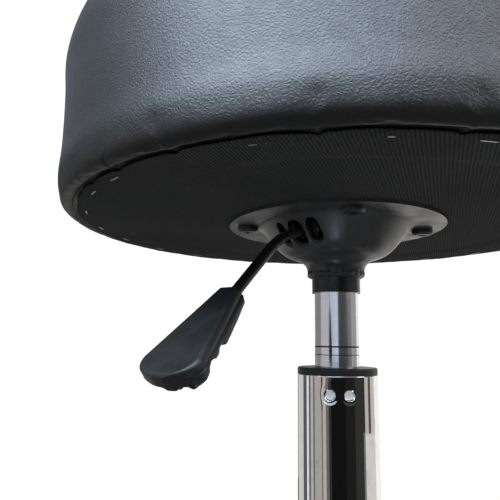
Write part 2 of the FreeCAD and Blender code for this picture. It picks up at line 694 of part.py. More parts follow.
def nodes():
    parts = {maker.__name__: maker() for maker in (
        seat_cover, seat_foam, seat_board, tee_nuts, dust_cover, dust_cover_staples, cover_staples,
        mount_plate, mount_screws, taper_socket, lever_bracket, lever_pivot_pin, lever_rod, lever_handle,
        gas_cylinder, rod_guide, rod_seal, pressure_tube, valve_body, release_pin, piston_rod, piston,
        rod_clip, thrust_race_lower, thrust_race_upper, thrust_balls, thrust_cage, bump_stop, column_tube,
        column_bushing, column_end_disc, base_hub, leg_sockets, caster_stems, stem_grip_rings,
    )}
    hood = hood_form()
    axle = axle_form()
    left, right = wheel_form(-1), wheel_form(1)
    for i, angle in enumerate(leg_angles(), start=1):
        parts[f"base_leg_{i}"] = base_leg(angle)
        parts[f"caster_{i}_hood"] = placed(hood, angle)
        parts[f"caster_{i}_axle"] = placed(axle, angle)
        parts[f"caster_{i}_wheel_left"] = placed(left, angle)
        parts[f"caster_{i}_wheel_right"] = placed(right, angle)
    return parts


os.makedirs("parts", exist_ok=True)
for node, shape in nodes().items():
    if not shape.isValid():
        print("not valid:", node)
    print(f"{node:24s} {len(shape.Solids):3d} solids {shape.Volume / 1000:10.2f} cm3")
    shape.exportStep(f"parts/{node}.step")
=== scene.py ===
"""Looks of the rolling stylist stool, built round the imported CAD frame. Metres, in the CAD's own frame."""

import json
import math

import bmesh
import bpy
from mathutils import Matrix, Vector, noise


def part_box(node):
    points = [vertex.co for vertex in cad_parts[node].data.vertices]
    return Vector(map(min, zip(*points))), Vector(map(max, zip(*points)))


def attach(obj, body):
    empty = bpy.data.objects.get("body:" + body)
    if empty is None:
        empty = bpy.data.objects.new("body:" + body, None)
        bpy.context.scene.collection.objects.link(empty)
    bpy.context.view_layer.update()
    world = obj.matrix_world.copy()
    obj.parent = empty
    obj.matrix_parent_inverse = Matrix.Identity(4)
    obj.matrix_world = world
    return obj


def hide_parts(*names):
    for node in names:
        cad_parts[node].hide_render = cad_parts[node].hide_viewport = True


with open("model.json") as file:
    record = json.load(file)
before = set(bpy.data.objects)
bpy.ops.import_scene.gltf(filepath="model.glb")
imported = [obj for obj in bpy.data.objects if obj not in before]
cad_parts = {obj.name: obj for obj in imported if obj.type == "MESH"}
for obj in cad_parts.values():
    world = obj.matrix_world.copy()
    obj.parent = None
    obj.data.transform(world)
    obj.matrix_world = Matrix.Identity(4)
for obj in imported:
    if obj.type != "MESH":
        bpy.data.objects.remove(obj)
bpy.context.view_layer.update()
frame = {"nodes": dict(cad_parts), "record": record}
NODES = frame["nodes"]

MM = 0.001
TAU = 2 * math.pi


# ---- places taken from the frame -----------------------------------------------------------------

def low(node):
    """Lowest corner of a CAD node's box."""
    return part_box(node)[0]


def high(node):
    """Highest corner of a CAD node's box."""
    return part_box(node)[1]


PLATE_Z = high("mount_plate").z - 2 * MM        # underside of the mounting plate's flange
CLOTH_R = high("dust_cover").x
CLOTH_Z = low("dust_cover").z
COLUMN_R = high("column_tube").x
COLUMN_TOP = high("column_tube").z
JOINTS = {joint["name"]: joint for joint in frame["record"]["behaviour"]["joints"]}
LEVER_AXIS = Vector(JOINTS["lever_lift"]["axis"])
LEVER_OUT = Vector((-LEVER_AXIS.y, LEVER_AXIS.x, 0)).normalized()

# The crimps pressed into the column under its bushing.
CRIMP_ANGLES = (-100.7, -73.3, 79.3, 106.7)
CRIMP_Z = COLUMN_TOP - 10.8 * MM
CRIMP_R = 3.5 * MM
CRIMP_FLAT = 2.4 * MM                           # radius of the flat bottom
CRIMP_DEPTH = 0.9 * MM

# The rolled grooves of the gas cylinder, as height from the plate's flange and half width.
PISTON_GROOVES = ((-77 * MM, 0.45 * MM), (-82 * MM, 0.22 * MM))


def crimp_places():
    """Middle of each crimp's bottom."""
    r = COLUMN_R - CRIMP_DEPTH
    return [(r * math.cos(math.radians(a)), r * math.sin(math.radians(a)), CRIMP_Z) for a in CRIMP_ANGLES]


# ---- mesh helpers --------------------------------------------------------------------------------

def mesh_object(name, vertices, faces):
    """Smooth-shaded object with its faces turned outwards."""
    mesh = bpy.data.meshes.new(name)
    mesh.from_pydata([tuple(v) for v in vertices], [], faces)
    mesh.validate()
    obj = bpy.data.objects.new(name, mesh)
    bpy.context.collection.objects.link(obj)
    form = bmesh.new()
    form.from_mesh(mesh)
    bmesh.ops.recalc_face_normals(form, faces=form.faces)
    for face in form.faces:
        face.smooth = True
    form.to_mesh(mesh)
    form.free()
    return obj


def lathe(name, outline, turns, shift=None, closed=True):
    """Solid of revolution of an outline of (radius, height). A radius of 0 becomes a pole.
    shift(angle, i, r, z) may move each point."""
    vertices, rings = [], []
    for i, (r, z) in enumerate(outline):
        count = 1 if r < 1e-7 else turns
        ring = []
        for k in range(count):
            angle = TAU * k / turns
            rr, zz = shift(angle, i, r, z) if shift else (r, z)
            ring.append(len(vertices))
            vertices.append((rr * math.cos(angle), rr * math.sin(angle), zz))
        rings.append(ring)
    faces = []
    pairs = list(zip(rings, rings[1:])) + ([(rings[-1], rings[0])] if closed else [])
    for a, b in pairs:
        if len(a) == len(b) == 1:
            continue
        for k in range(turns):
            n = (k + 1) % turns
            corners = [a[k % len(a)], a[n % len(a)], b[n % len(b)], b[k % len(b)]]
            faces.append(tuple(dict.fromkeys(corners)))
    return mesh_object(name, vertices, faces)


def smooth_step(t):
    """Rises smoothly from 0 to 1 while t goes from 0 to 1."""
    t = min(max(t, 0.0), 1.0)
    return t * t * (3 - 2 * t)


def smooth_path(points, steps):
    """Catmull-Rom curve through points, as steps points for each span."""
    out = []
    ends = [points[0]] + list(points) + [points[-1]]
    for i in range(1, len(ends) - 2):
        p0, p1, p2, p3 = (Vector(p) for p in ends[i - 1:i + 3])
        for k in range(steps):
            t = k / steps
            out.append(0.5 * (2 * p1 + (p2 - p0) * t + (2 * p0 - 5 * p1 + 4 * p2 - p3) * t ** 2
                              + (3 * p1 - p0 - 3 * p2 + p3) * t ** 3))
    out.append(Vector(points[-1]))
    return out


# ---- material helpers ----------------------------------------------------------------------------

class Shader:
    """A procedural material around one Principled shader."""

    def __init__(self, name, **values):
        self.material = bpy.data.materials.new(name)
        self.material.use_nodes = True
        self.tree = self.material.node_tree
        self.body = self.tree.nodes["Principled BSDF"]
        for key, value in values.items():
            self.body.inputs[key.replace("_", " ")].default_value = value
        self.coords = self.node("ShaderNodeTexCoord").outputs["Object"]
        self.bump_chain = None

    def node(self, kind, **settings):
        made = self.tree.nodes.new(kind)
        for key, value in settings.items():
            setattr(made, key, value)
        return made

    def link(self, source, target):
        self.tree.links.new(source, target)

    def scaled(self, scale, rotation=(0, 0, 0)):
        mapping = self.node("ShaderNodeMapping")
        self.link(self.coords, mapping.inputs["Vector"])
        mapping.inputs["Scale"].default_value = scale
        mapping.inputs["Rotation"].default_value = rotation
        return mapping.outputs["Vector"]

    def noise(self, scale, detail=3.0, roughness=0.5, vector=None, distortion=0.0):
        made = self.node("ShaderNodeTexNoise")
        self.link(vector or self.coords, made.inputs["Vector"])
        made.inputs["Scale"].default_value = scale
        made.inputs["Detail"].default_value = detail
        made.inputs["Roughness"].default_value = roughness
        made.inputs["Distortion"].default_value = distortion
        return made.outputs["Fac"]

    def cells(self, scale, feature="F1", vector=None):
        made = self.node("ShaderNodeTexVoronoi", feature=feature)
        self.link(vector or self.coords, made.inputs["Vector"])
        made.inputs["Scale"].default_value = scale
        return made.outputs["Distance"]

    def mix(self, factor, a, b):
        made = self.node("ShaderNodeMix", data_type="RGBA")
        self.link(factor, made.inputs[0])
        for socket, colour in ((made.inputs[6], a), (made.inputs[7], b)):
            if isinstance(colour, tuple):
                socket.default_value = (*colour, 1)
            else:
                self.link(colour, socket)
        return made.outputs[2]

    def math(self, operation, a, b):
        made = self.node("ShaderNodeMath", operation=operation)
        for socket, value in zip(made.inputs, (a, b)):
            if isinstance(value, (int, float)):
                socket.default_value = value
            else:
                self.link(value, socket)
        return made.outputs[0]

    def range(self, source, low_out, high_out, low_in=0.0, high_in=1.0, shape="LINEAR"):
        """The source with low_in to high_in spread over low_out to high_out, and no further."""
        made = self.node("ShaderNodeMapRange", interpolation_type=shape)
        self.link(source, made.inputs["Value"])
        limits = {"From Min": low_in, "From Max": high_in, "To Min": low_out, "To Max": high_out}
        for key, value in limits.items():
            made.inputs[key].default_value = value
        return made.outputs["Result"]

    def bump(self, height, distance, strength=1.0):
        """Adds a layer of bump, distance metres high, over the layers before it."""
        made = self.node("ShaderNodeBump")
        made.inputs["Strength"].default_value = strength
        made.inputs["Distance"].default_value = distance
        self.link(height, made.inputs["Height"])
        if self.bump_chain:
            self.link(self.bump_chain, made.inputs["Normal"])
        self.bump_chain = made.outputs["Normal"]
        self.link(self.bump_chain, self.body.inputs["Normal"])

    def set(self, key, source):
        self.link(source, self.body.inputs[key])


# ---- materials -----------------------------------------------------------------------------------

def leather():
    """Dark grey synthetic leather: small soft pebbles between creases, and painted shade round the hem,
    which is darker and duller there.
    """
    s = Shader("leather")
    warped = s.node("ShaderNodeVectorMath", operation="MULTIPLY_ADD")
    s.link(s.noise(300, 3, 0.6), warped.inputs[0])
    warped.inputs[1].default_value = (0.0016,) * 3
    s.link(s.coords, warped.inputs[2])
    place = warped.outputs[0]
    pebbles = s.range(s.cells(610, "DISTANCE_TO_EDGE", place), 0.0, 1.0, 0.0, 0.36, "SMOOTHSTEP")
    small = s.range(s.cells(1350, "DISTANCE_TO_EDGE", place), 0.0, 1.0, 0.0, 0.30, "SMOOTHSTEP")
    axes = s.node("ShaderNodeSeparateXYZ")
    s.link(s.coords, axes.inputs[0])
    # Painted shade: below 10 mm above the plate's flange the leather turns darker and less shiny towards the
    # hem.
    above_hem_shade = s.range(axes.outputs["Z"], 0.0, 1.0, PLATE_Z + 2 * MM, PLATE_Z + 10 * MM, "SMOOTHSTEP")
    worn = s.range(s.noise(9, 3), 0.0, 1.0, 0.35, 0.7)
    unshaded_tone = s.mix(worn, (0.0205, 0.0212, 0.0224), (0.0250, 0.0258, 0.0272))
    unshaded_tone = s.mix(pebbles, (0.0170, 0.0175, 0.0185), unshaded_tone)
    s.set("Base Color", s.mix(above_hem_shade, (0.0155, 0.0150, 0.0146), unshaded_tone))
    s.set("Specular IOR Level", s.range(above_hem_shade, 0.10, 0.5))
    s.set("Roughness", s.range(s.noise(160, 4), 0.31, 0.40, 0.3, 0.7))
    s.bump(s.noise(30, 3), 0.0008, 0.14)
    s.bump(pebbles, 0.00007, 0.8)
    s.bump(small, 0.00003, 0.8)
    s.bump(s.noise(2600, 3), 0.000012, 0.5)
    return s.material


def dust_cloth():
    """Black ribbed cloth: fine ribs, a faint cross thread, short lint fibres and a little dust."""
    s = Shader("dust_cloth", Roughness=0.92, Specular_IOR_Level=0.10)
    turned = s.scaled((1, 1, 1), (0, 0, math.radians(11)))
    ribs = s.node("ShaderNodeTexWave", wave_type="BANDS", bands_direction="X", wave_profile="SIN")
    threads = s.node("ShaderNodeTexWave", wave_type="BANDS", bands_direction="Y", wave_profile="SIN")
    for wave, scale, distortion in ((ribs, 188.0, 1.1), (threads, 330.0, 3.0)):
        s.link(turned, wave.inputs["Vector"])
        wave.inputs["Scale"].default_value = scale
        wave.inputs["Distortion"].default_value = distortion
        wave.inputs["Detail"].default_value = 2.0
        wave.inputs["Detail Scale"].default_value = 3.0
    weave = s.math("ADD", s.math("MULTIPLY", ribs.outputs["Fac"], 0.7),
                   s.math("MULTIPLY", threads.outputs["Fac"], 0.3))
    fibres = s.math("LESS_THAN", s.cells(1.0, "F1", s.scaled((900, 150, 400), (0, 0, 0.6))), 0.10)
    specks = s.math("LESS_THAN", s.cells(700, "F1"), 0.10)
    lint = s.math("MAXIMUM", s.math("MULTIPLY", fibres, 0.30), s.math("MULTIPLY", specks, 0.45))
    faded = s.range(s.noise(13, 4), 0.0, 1.0, 0.35, 0.7)
    thread = s.mix(faded, (0.026, 0.0258, 0.0258), (0.038, 0.037, 0.0367))
    tone = s.mix(weave, (0.0060, 0.0060, 0.0061), thread)
    s.set("Base Color", s.mix(lint, tone, (0.13, 0.125, 0.12)))
    s.bump(s.noise(14, 3), 0.0010, 0.4)
    s.bump(weave, 0.00030, 0.9)
    s.bump(s.noise(1500, 3), 0.00010, 0.7)
    return s.material


def enamel(name, colour, rough, wear=0.0):
    """Paint on steel, with orange peel, faint rubbed patches and a little dust."""
    s = Shader(name, Specular_IOR_Level=0.45)
    patches = s.range(s.noise(38, 5, 0.6), 0.0, 1.0, 0.35, 0.75)
    lighter = tuple(min(c * (1.35 + wear) + 0.006, 1) for c in colour)
    specks = s.math("LESS_THAN", s.cells(420, "F1"), 0.06)
    tone = s.mix(patches, colour, lighter)
    dust = tuple(c * 1.8 + 0.03 for c in colour)
    s.set("Base Color", s.mix(s.math("MULTIPLY", specks, 0.18 + wear), tone, dust))
    s.set("Roughness", s.range(s.noise(90, 4), rough - 0.07, rough + 0.09, 0.3, 0.7))
    s.bump(s.noise(520, 2), 0.00006, 0.25)
    s.bump(s.noise(60, 3), 0.00025, 0.2)
    return s.material


def brushed(name, colour, rough, metallic=1.0, scale=(60, 60, 900), streak=0.25):
    """Drawn, ground or plated steel with fine lines across its grain direction."""
    s = Shader(name, Metallic=metallic)
    lines = s.noise(1.0, 4, 0.6, s.scaled(scale))
    stains = s.noise(45, 4)
    dark = tuple(c * (1 - streak) for c in colour)
    s.set("Base Color", s.mix(s.range(lines, 0.0, 1.0, 0.3, 0.7), dark, colour))
    s.set("Roughness", s.range(stains, rough * 0.75, rough * 1.35, 0.3, 0.7))
    s.bump(lines, 0.00003, 0.35)
    return s.material


def chrome():
    """Bright chrome plate with faint handling marks and a slow unevenness of the tube under it. The plate is
    dull in the bottoms of the column's crimps."""
    s = Shader("chrome", Metallic=1.0)
    marks = s.range(s.noise(130, 6, 0.7), 0.0, 1.0, 0.52, 0.72)
    nearest = 1.0
    for x, y, z in crimp_places():
        gap = s.node("ShaderNodeVectorMath", operation="DISTANCE")
        s.link(s.coords, gap.inputs[0])
        gap.inputs[1].default_value = (x, y, z)
        nearest = s.math("MINIMUM", gap.outputs["Value"], nearest)
    dull = s.range(nearest, 1.0, 0.0, CRIMP_FLAT, CRIMP_FLAT + 0.5 * MM)
    plate = s.mix(marks, (0.83, 0.82, 0.81), (0.70, 0.69, 0.68))
    s.set("Base Color", s.mix(dull, plate, (0.95, 0.95, 0.95)))
    s.set("Roughness", s.range(s.math("MAXIMUM", s.math("MULTIPLY", marks, 0.22), dull), 0.035, 0.60))
    s.bump(s.noise(9, 2, 0.4, s.scaled((1, 1, 0.12))), 0.0006, 0.35)
    s.bump(s.noise(700, 2), 0.000012, 0.3)
    return s.material


def plastic(name, colour, rough, grain=900):
    """Moulded plastic with a spark-eroded texture, handling sheen and faint lighter clouds."""
    s = Shader(name, Specular_IOR_Level=0.38)
    clouds = s.noise(26, 4, 0.55)
    light = tuple(c * 1.25 + 0.004 for c in colour)
    s.set("Base Color", s.mix(s.range(clouds, 0.0, 1.0, 0.3, 0.7), colour, light))
    s.set("Roughness", s.range(s.noise(70, 4), rough - 0.08, rough + 0.1, 0.3, 0.7))
    s.bump(s.noise(grain, 3, 0.6), 0.00006, 0.8)
    s.bump(s.noise(30, 2), 0.0003, 0.15)
    return s.material


def foam():
    """Open-cell cushion foam."""
    s = Shader("foam", Roughness=0.95)
    holes = s.cells(900, "F1")
    s.set("Base Color", s.mix(s.range(holes, 0.0, 1.0, 0.1, 0.6), (0.42, 0.36, 0.22), (0.78, 0.72, 0.50)))
    s.bump(holes, 0.0006, 0.9)
    return s.material


def plywood():
    """Dark plywood: its dark tone is painted shade, so the board seen through the plate's slots stays as
    dark as the inside of the seat.
    """
    s = Shader("plywood", Roughness=0.7)
    grain = s.noise(1.0, 5, 0.6, s.scaled((12, 140, 140)), 0.6)
    plies = s.node("ShaderNodeTexWave", wave_type="BANDS", bands_direction="Z")
    s.link(s.coords, plies.inputs["Vector"])
    plies.inputs["Scale"].default_value = 75.0
    # Painted shade: the wood tones are darkened so the board stays dark through the plate's slots.
    wood = s.mix(s.range(grain, 0.0, 1.0, 0.3, 0.7), (0.030, 0.022, 0.015), (0.070, 0.050, 0.033))
    s.set("Base Color", s.mix(s.math("MULTIPLY", plies.outputs["Fac"], 0.25), wood, (0.018, 0.012, 0.008)))
    s.bump(grain, 0.0003, 0.6)
    return s.material


# ---- seat ----------------------------------------------------------------------------------------

# Where the leather is gathered into a fold over the board's edge, in degrees round the seat, how far each
# fold leans while it runs out from the cloth and up the wall, and how deep it is.
PLEATS = (
    (-171.0, 2.0, 0.3), (-152.5, -3.0, 0.25), (-143.8, 2.5, 0.25), (-135.6, 3.5, 0.5), (-125.7, 3.0, 0.8),
    (-113.1, -3.5, 1.0), (-92.0, 2.5, 1.0), (-73.4, -4.5, 1.0), (-51.0, 3.0, 0.6), (-31.0, -2.0, 0.5),
    (-9.0, 3.0, 0.6), (14.0, -3.0, 0.5), (33.0, 2.0, 0.6), (57.0, 3.0, 0.4), (79.0, -2.5, 0.7),
    (101.0, 2.0, 0.5), (119.0, -3.0, 0.6), (137.0, 3.0, 0.4), (152.0, -2.0, 0.6), (166.0, 2.5, 0.4),
)
FOLD_SLOPE = 8.0                # millimetres from where a fold starts to rise to its edge
FOLD_DIP = 3.0                  # millimetres of the dip past its edge
LEATHER_TURNS = 1080            # steps round the finished leather, and round its simulation
SIM_TURNS = 216
SIM_ROWS = 3                    # the simulation has every third point of the outline
SIM_FRAMES = 20
SETTLING_LIMITS = (-0.8 * MM, 1.6 * MM)         # how far the simulation may move a point
CROWN_R = 90 * MM               # the calm middle of the crown
BOARD_EDGE_R = 165.5 * MM       # where the leather turns under the board
CLOTH_HOLE_R = 40 * MM
STAPLE_CIRCLE_R = 158.5 * MM
SWALLOWED_STAPLES = (-100.0, -83.9)     # the two at the front, in degrees round the seat


def angle_gap(a, b):
    """Difference of two angles in degrees, from -180 to 180."""
    return (a - b + 180) % 360 - 180


def fold_height(degrees, reach, radius):
    """Height of the folds in millimetres: a slope up to an edge that drops away on its other side.
    reach is 0 at the cloth and 1 where the folds fade out on the wall."""
    height = 0.0
    for place, lean, depth in PLEATS:
        side = 1 if lean > 0 else -1
        across = side * math.radians(angle_gap(degrees, place + lean * reach)) * radius / MM
        if -FOLD_SLOPE < across <= 0.0:
            height += depth * (1 + across / FOLD_SLOPE) ** 1.6
        elif 0.0 < across < FOLD_DIP:
            height += depth * max(1 - across / 0.9, -0.28 * (1 - across / FOLD_DIP))
    return height * max(1 - reach, 0.0) ** 1.6


def between_pleats(degrees):
    """0 at a fold, rising to 1 a few degrees away from it."""
    nearest = min(abs(angle_gap(degrees, place)) for place, lean, depth in PLEATS)
    return smooth_step(nearest / 6.5)


def cushion_outline():
    """Outside of the leather from the crown's middle to the hem under the board, as (radius, height)."""
    span = [
        (0, 120), (62, 118.2), (95, 116.0), (124.5, 113), (143.6, 110.9), (159.9, 105.1), (170.7, 96.3),
        (174.5, 84), (173.9, 66), (173.6, 47), (173.8, 30), (174.6, 16), (173.4, 6), (171.2, 2.2),
        (168.8, 1.0), (166.6, 1.4), (164.6, 2.3), (158, 1.9), (150, 1.5),
    ]
    path = smooth_path([(r * MM, 0, PLATE_Z + z * MM) for r, z in span], 6)
    return [(p.x, p.z) for p in path]


def settled_leather(points):
    """How the leather settles, as a table of (outwards, upwards) for every SIM_ROWS-th outline point and
    SIM_TURNS angles. Cloth is blown up from inside over the outline, held at the hem and at the folds, and
    what it does evenly all round is left out."""
    rows = list(range(0, len(points), SIM_ROWS))
    blank = lathe("leather_blank", [points[i] for i in rows], SIM_TURNS, closed=False)
    pins = blank.vertex_groups.new(name="pins")
    for vertex in blank.data.vertices:
        place = vertex.co
        radius = math.hypot(place.x, place.y)
        degrees = math.degrees(math.atan2(place.y, place.x))
        under = place.z < PLATE_Z + 2.2 * MM
        at_fold = place.z < PLATE_Z + 8 * MM and radius > 0.1 and between_pleats(degrees) < 0.1
        if under and radius < 0.166 or at_fold:
            pins.add([vertex.index], 1.0, "REPLACE")
    sim = blank.modifiers.new("cloth", "CLOTH")
    fabric = sim.settings
    fabric.quality = 6
    fabric.mass = 0.35
    fabric.tension_stiffness = 18
    fabric.compression_stiffness = 18
    fabric.shear_stiffness = 6
    fabric.bending_stiffness = 1.5
    fabric.use_pressure = True
    fabric.uniform_pressure_force = 4
    fabric.shrink_min = -0.002
    fabric.vertex_group_mass = "pins"
    fabric.effector_weights.gravity = 0
    sim.collision_settings.use_collision = False
    start = [vertex.co.copy() for vertex in blank.data.vertices]
    for step in range(SIM_FRAMES):
        bpy.context.scene.frame_set(step + 1)
    shaped = blank.evaluated_get(bpy.context.evaluated_depsgraph_get())
    moves = [b.co - a for a, b in zip(start, shaped.data.vertices)]
    bpy.context.scene.frame_set(1)
    table, at = [], 0
    for i in rows:
        count = 1 if points[i][0] < 1e-7 else SIM_TURNS
        row = []
        for k in range(SIM_TURNS):
            angle = TAU * k / SIM_TURNS
            move = moves[at + k % count]
            row.append((move.x * math.cos(angle) + move.y * math.sin(angle), move.z))
        at += count
        even = [sum(pair[axis] for pair in row) / SIM_TURNS for axis in (0, 1)]
        inmost, outmost = SETTLING_LIMITS
        table.append([
            tuple(max(min(moved - mean, outmost), inmost) for moved, mean in zip(pair, even))
            for pair in row
        ])
    bpy.data.objects.remove(blank)
    return table


def settled_at(table, i, angle):
    """The table's value at outline point i and any angle, blended from the four entries round it."""
    row = min(i / SIM_ROWS, len(table) - 1.001)
    column = (angle / TAU * SIM_TURNS) % SIM_TURNS
    r0, k0 = int(row), int(column)
    down, along = row - r0, column - k0
    corners = (
        (r0, k0, (1 - down) * (1 - along)), (r0, k0 + 1, (1 - down) * along),
        (r0 + 1, k0, down * (1 - along)), (r0 + 1, k0 + 1, down * along),
    )
    return [sum(table[r][k % SIM_TURNS][axis] * share for r, k, share in corners) for axis in (0, 1)]


def seat_leather():
    """Leather cover: the settled cushion with a slow unevenness, folds gathered over the board's edge and
    puffs between them. The folds and puffs move the wall outwards and the underside downwards."""
    points = cushion_outline()
    table = settled_leather(points)

    def shift(angle, i, r, z):
        degrees = math.degrees(angle)
        above = (z - PLATE_Z) / MM
        place = Vector((r * math.cos(angle), r * math.sin(angle), z))
        swell = (noise.noise(place * 11) * 0.5 + noise.noise(place * 27) * 0.12) * MM
        # The flat crown settles less than the wall and the shoulder.
        share = 1.0 if above < 60 else 0.25 + 0.75 * smooth_step((r - CROWN_R) / 0.06)
        out, up = (share * moved for moved in settled_at(table, i, angle)) if table else (0.0, 0.0)
        on_wall = smooth_step((r - CROWN_R - 0.01) / 0.06)
        past_cloth = smooth_step((r - 0.152) / 0.008)
        round_edge = smooth_step((r - BOARD_EDGE_R) / 0.006)
        reach = min(max((r - 0.171) / 0.003, 0) * 0.3 + max(above - 3, 0) / 10, 1) if r > 0.168 else 0.0
        fold = fold_height(degrees, reach, r) * past_cloth * (0.8 if above < 40 else 0.0) * MM
        near_hem = smooth_step((14 - above) / 11) * past_cloth
        puff = between_pleats(degrees) * near_hem * 0.5 * MM
        out += swell * on_wall + round_edge * (fold + puff * 0.8)
        up += swell * (1 - on_wall) * 1.3 - (1 - round_edge) * (past_cloth * fold * 0.8 + puff * 0.2)
        return max(r + out, 0.0), z + up

    return lathe("seat_cover_leather", points, LEATHER_TURNS, shift, closed=False)


def dust_sheet():
    """Black cloth under the board, stretched between its staples, with a cut edge notched at the
    leather's folds. Its fuzz has swallowed most of the two staples at the front."""
    thick = 0.5 * MM
    flat_r, edge_r = 130 * MM, 140 * MM
    flat_z = PLATE_Z + 2.0 * MM
    rings = 60
    outline = []
    for i in range(rings + 1):
        r = CLOTH_HOLE_R + (CLOTH_R - CLOTH_HOLE_R) * i / rings
        drop = smooth_step((r - flat_r) / (edge_r - flat_r))
        outline.append((r, flat_z + (CLOTH_Z - flat_z) * drop))
    top = [(r, z + thick) for r, z in reversed(outline)]

    def shift(angle, i, r, z):
        degrees = math.degrees(angle)
        round_seat = Vector((math.cos(angle), math.sin(angle), 0))
        place = round_seat * r
        free = smooth_step((r - 0.072) / 0.03)
        sag = noise.noise(place * 17) * 0.55 * MM + noise.noise(place * 46) * 0.18 * MM
        edge = smooth_step((r - 0.154) / 0.009)
        notch = max(
            depth * (1 - math.radians(abs(angle_gap(degrees, fold))) * CLOTH_R / (3.6 * MM))
            for fold, lean, depth in PLEATS
        )
        cut = noise.noise(round_seat * 9) * 1.2 * MM + noise.noise(round_seat * 40) * 0.35 * MM
        cut += (between_pleats(degrees) * 0.8 - 2.2 * max(notch, 0.0)) * MM
        swallowed = 0.0
        for staple in SWALLOWED_STAPLES:
            side = math.radians(angle_gap(degrees, staple)) * r / (3.9 * MM)
            outwards = (r - STAPLE_CIRCLE_R) / (3.4 * MM)
            swallowed += smooth_step(2.6 * (1 - math.hypot(side, outwards)))
        return r + edge * cut, z + free * (1 - 0.8 * edge) * sag - swallowed * 0.85 * MM

    return lathe("dust_cloth", outline + top, 720, shift)


# ---- lever handle --------------------------------------------------------------------------------

ROD_R = 3 * MM
DROOP = math.radians(43.0)                      # of the rod's outer run and of the grip
ROD_END_RHO = 110 * MM                          # end of the rod inside the grip, from the column's axis
GRIP_RHO = 100 * MM
GRIP_LENGTH = 60.5 * MM
GRIP_FLANK = 49 * MM                            # where the rounded end starts
GRIP_NECK = 6.6 * MM                            # half widths at the neck and where the rounded end starts
GRIP_WIDE = 18.8 * MM
GRIP_TOP = 5.5 * MM                             # above the rod's axis
GRIP_RIM = 2.3 * MM                             # rounding of the top's edge
PARTING = 0.5 * MM                              # height of the parting line
# Underside of the grip in millimetres, as (place along it, depth): finger pads with grooves between them.
FINGER_PADS = (
    (0, 5.5), (14, 6.1), (27, 6.3), (29.3, 6.1), (30.6, 4.4), (31.8, 3.6), (34, 3.6), (37.2, 4.7),
    (39.4, 4.6), (41.6, 3.2), (43.6, 2.6), (45.6, 3.2), (48.4, 4.8), (52, 5.7), (54, 5.8), (56.5, 4.3),
    (58.5, 2.9), (61, 1.4),
)


def grip_axes():
    """Start of the grip on the rod's axis, and its directions along, across and up."""
    along = LEVER_OUT * math.cos(DROOP) - Vector((0, 0, math.sin(DROOP)))
    across = along.cross(Vector((0, 0, 1))).normalized()
    up = across.cross(along).normalized()
    end = Vector((0, 0, low("lever_rod").z + ROD_R * math.cos(DROOP))) + LEVER_OUT * ROD_END_RHO
    start = end - along * (ROD_END_RHO - GRIP_RHO) / math.cos(DROOP)
    return start, along, across, up


def grip_half_width(u):
    """Half width of the grip at u along it: a straight flank, then a rounded end."""
    if u <= GRIP_FLANK:
        return GRIP_NECK + (GRIP_WIDE - GRIP_NECK) * (u / GRIP_FLANK) ** 0.97
    t = (u - GRIP_FLANK) / (GRIP_LENGTH - GRIP_FLANK)
    return GRIP_WIDE * max(1 - t ** 2.25, 0.0) ** (1 / 2.1)


def grip_underside(u, v):
    """Depth of the underside below the rod's axis."""
    for (start, before), (end, after) in zip(FINGER_PADS, FINGER_PADS[1:]):
        if u / MM <= end:
            break
    depth = before + (after - before) * smooth_step((u / MM - start) / (end - start))
    for place, wide in ((-4.0, 3.4), (-14.5, 1.8)):
        depth += 1.9 * smooth_step((u / MM - 54) / 2.5) * math.exp(-((v / MM - place) / wide) ** 4)
    return depth * MM


def grip_section(u):
    """Closed loop (across, up) of the grip at u: hollow top with a rounded edge, upper wall, parting line,
    slightly prouder lower wall and finger pads."""
    half = grip_half_width(u)
    rim = min(GRIP_RIM, half * 0.45)
    hollow = 0.8 * MM * smooth_step(u / (20 * MM)) * smooth_step((GRIP_LENGTH - u) / (16 * MM))
    loop = []
    tops = 28
    for i in range(tops + 1):
        across = math.sin(math.pi / 2 * (2 * i / tops - 1))
        inwards = min(half * (1 - abs(across)), GRIP_LENGTH - u, rim)
        drop = rim - math.sqrt(max(rim ** 2 - (rim - inwards) ** 2, 0.0))
        loop.append((half * across, GRIP_TOP - hollow * (1 - across ** 2) - drop))
    ledge = min(0.7 * MM, half * 0.1)
    wall = [
        (half + ledge * 0.5, PARTING + 0.45 * MM), (half + ledge * 0.1, PARTING + 0.2 * MM),
        (half + ledge * 0.1, PARTING - 0.1 * MM), (half + ledge, PARTING - 0.45 * MM),
    ]
    foot = max(half - 0.9 * MM, half * 0.3)
    under = 28
    for v, w in wall:
        loop.append((v, w))
    for i in range(under + 1):
        t = 1 - 2 * i / under
        v = t * foot
        loop.append((v, min(0.8 * MM * abs(t) ** 10 - grip_underside(u, v), PARTING - 0.9 * MM)))
    return loop + [(-v, w) for v, w in reversed(wall)]


def lever_grip():
    """Moulded paddle, as a skin of grip sections from the neck to the tip."""
    start, along, across, up = grip_axes()
    spans = 96
    places = [GRIP_LENGTH * (1 - (1 - i / spans) ** 1.5) * 0.9985 for i in range(spans + 1)]
    vertices, faces = [], []
    for u in places:
        for v, w in grip_section(u):
            vertices.append(start + along * u + across * v + up * w)
    count = len(grip_section(0.0))
    for i in range(spans):
        for k in range(count):
            n = (k + 1) % count
            faces.append((i * count + k, i * count + n, (i + 1) * count + n, (i + 1) * count + k))
    faces.append(tuple(range(count)))
    faces.append(tuple(range(spans * count, (spans + 1) * count)))
    grip = mesh_object("lever_grip", vertices, faces)
    for face in grip.data.polygons:
        face.use_smooth = len(face.vertices) == 4
    return grip


# ---- column --------------------------------------------------------------------------------------

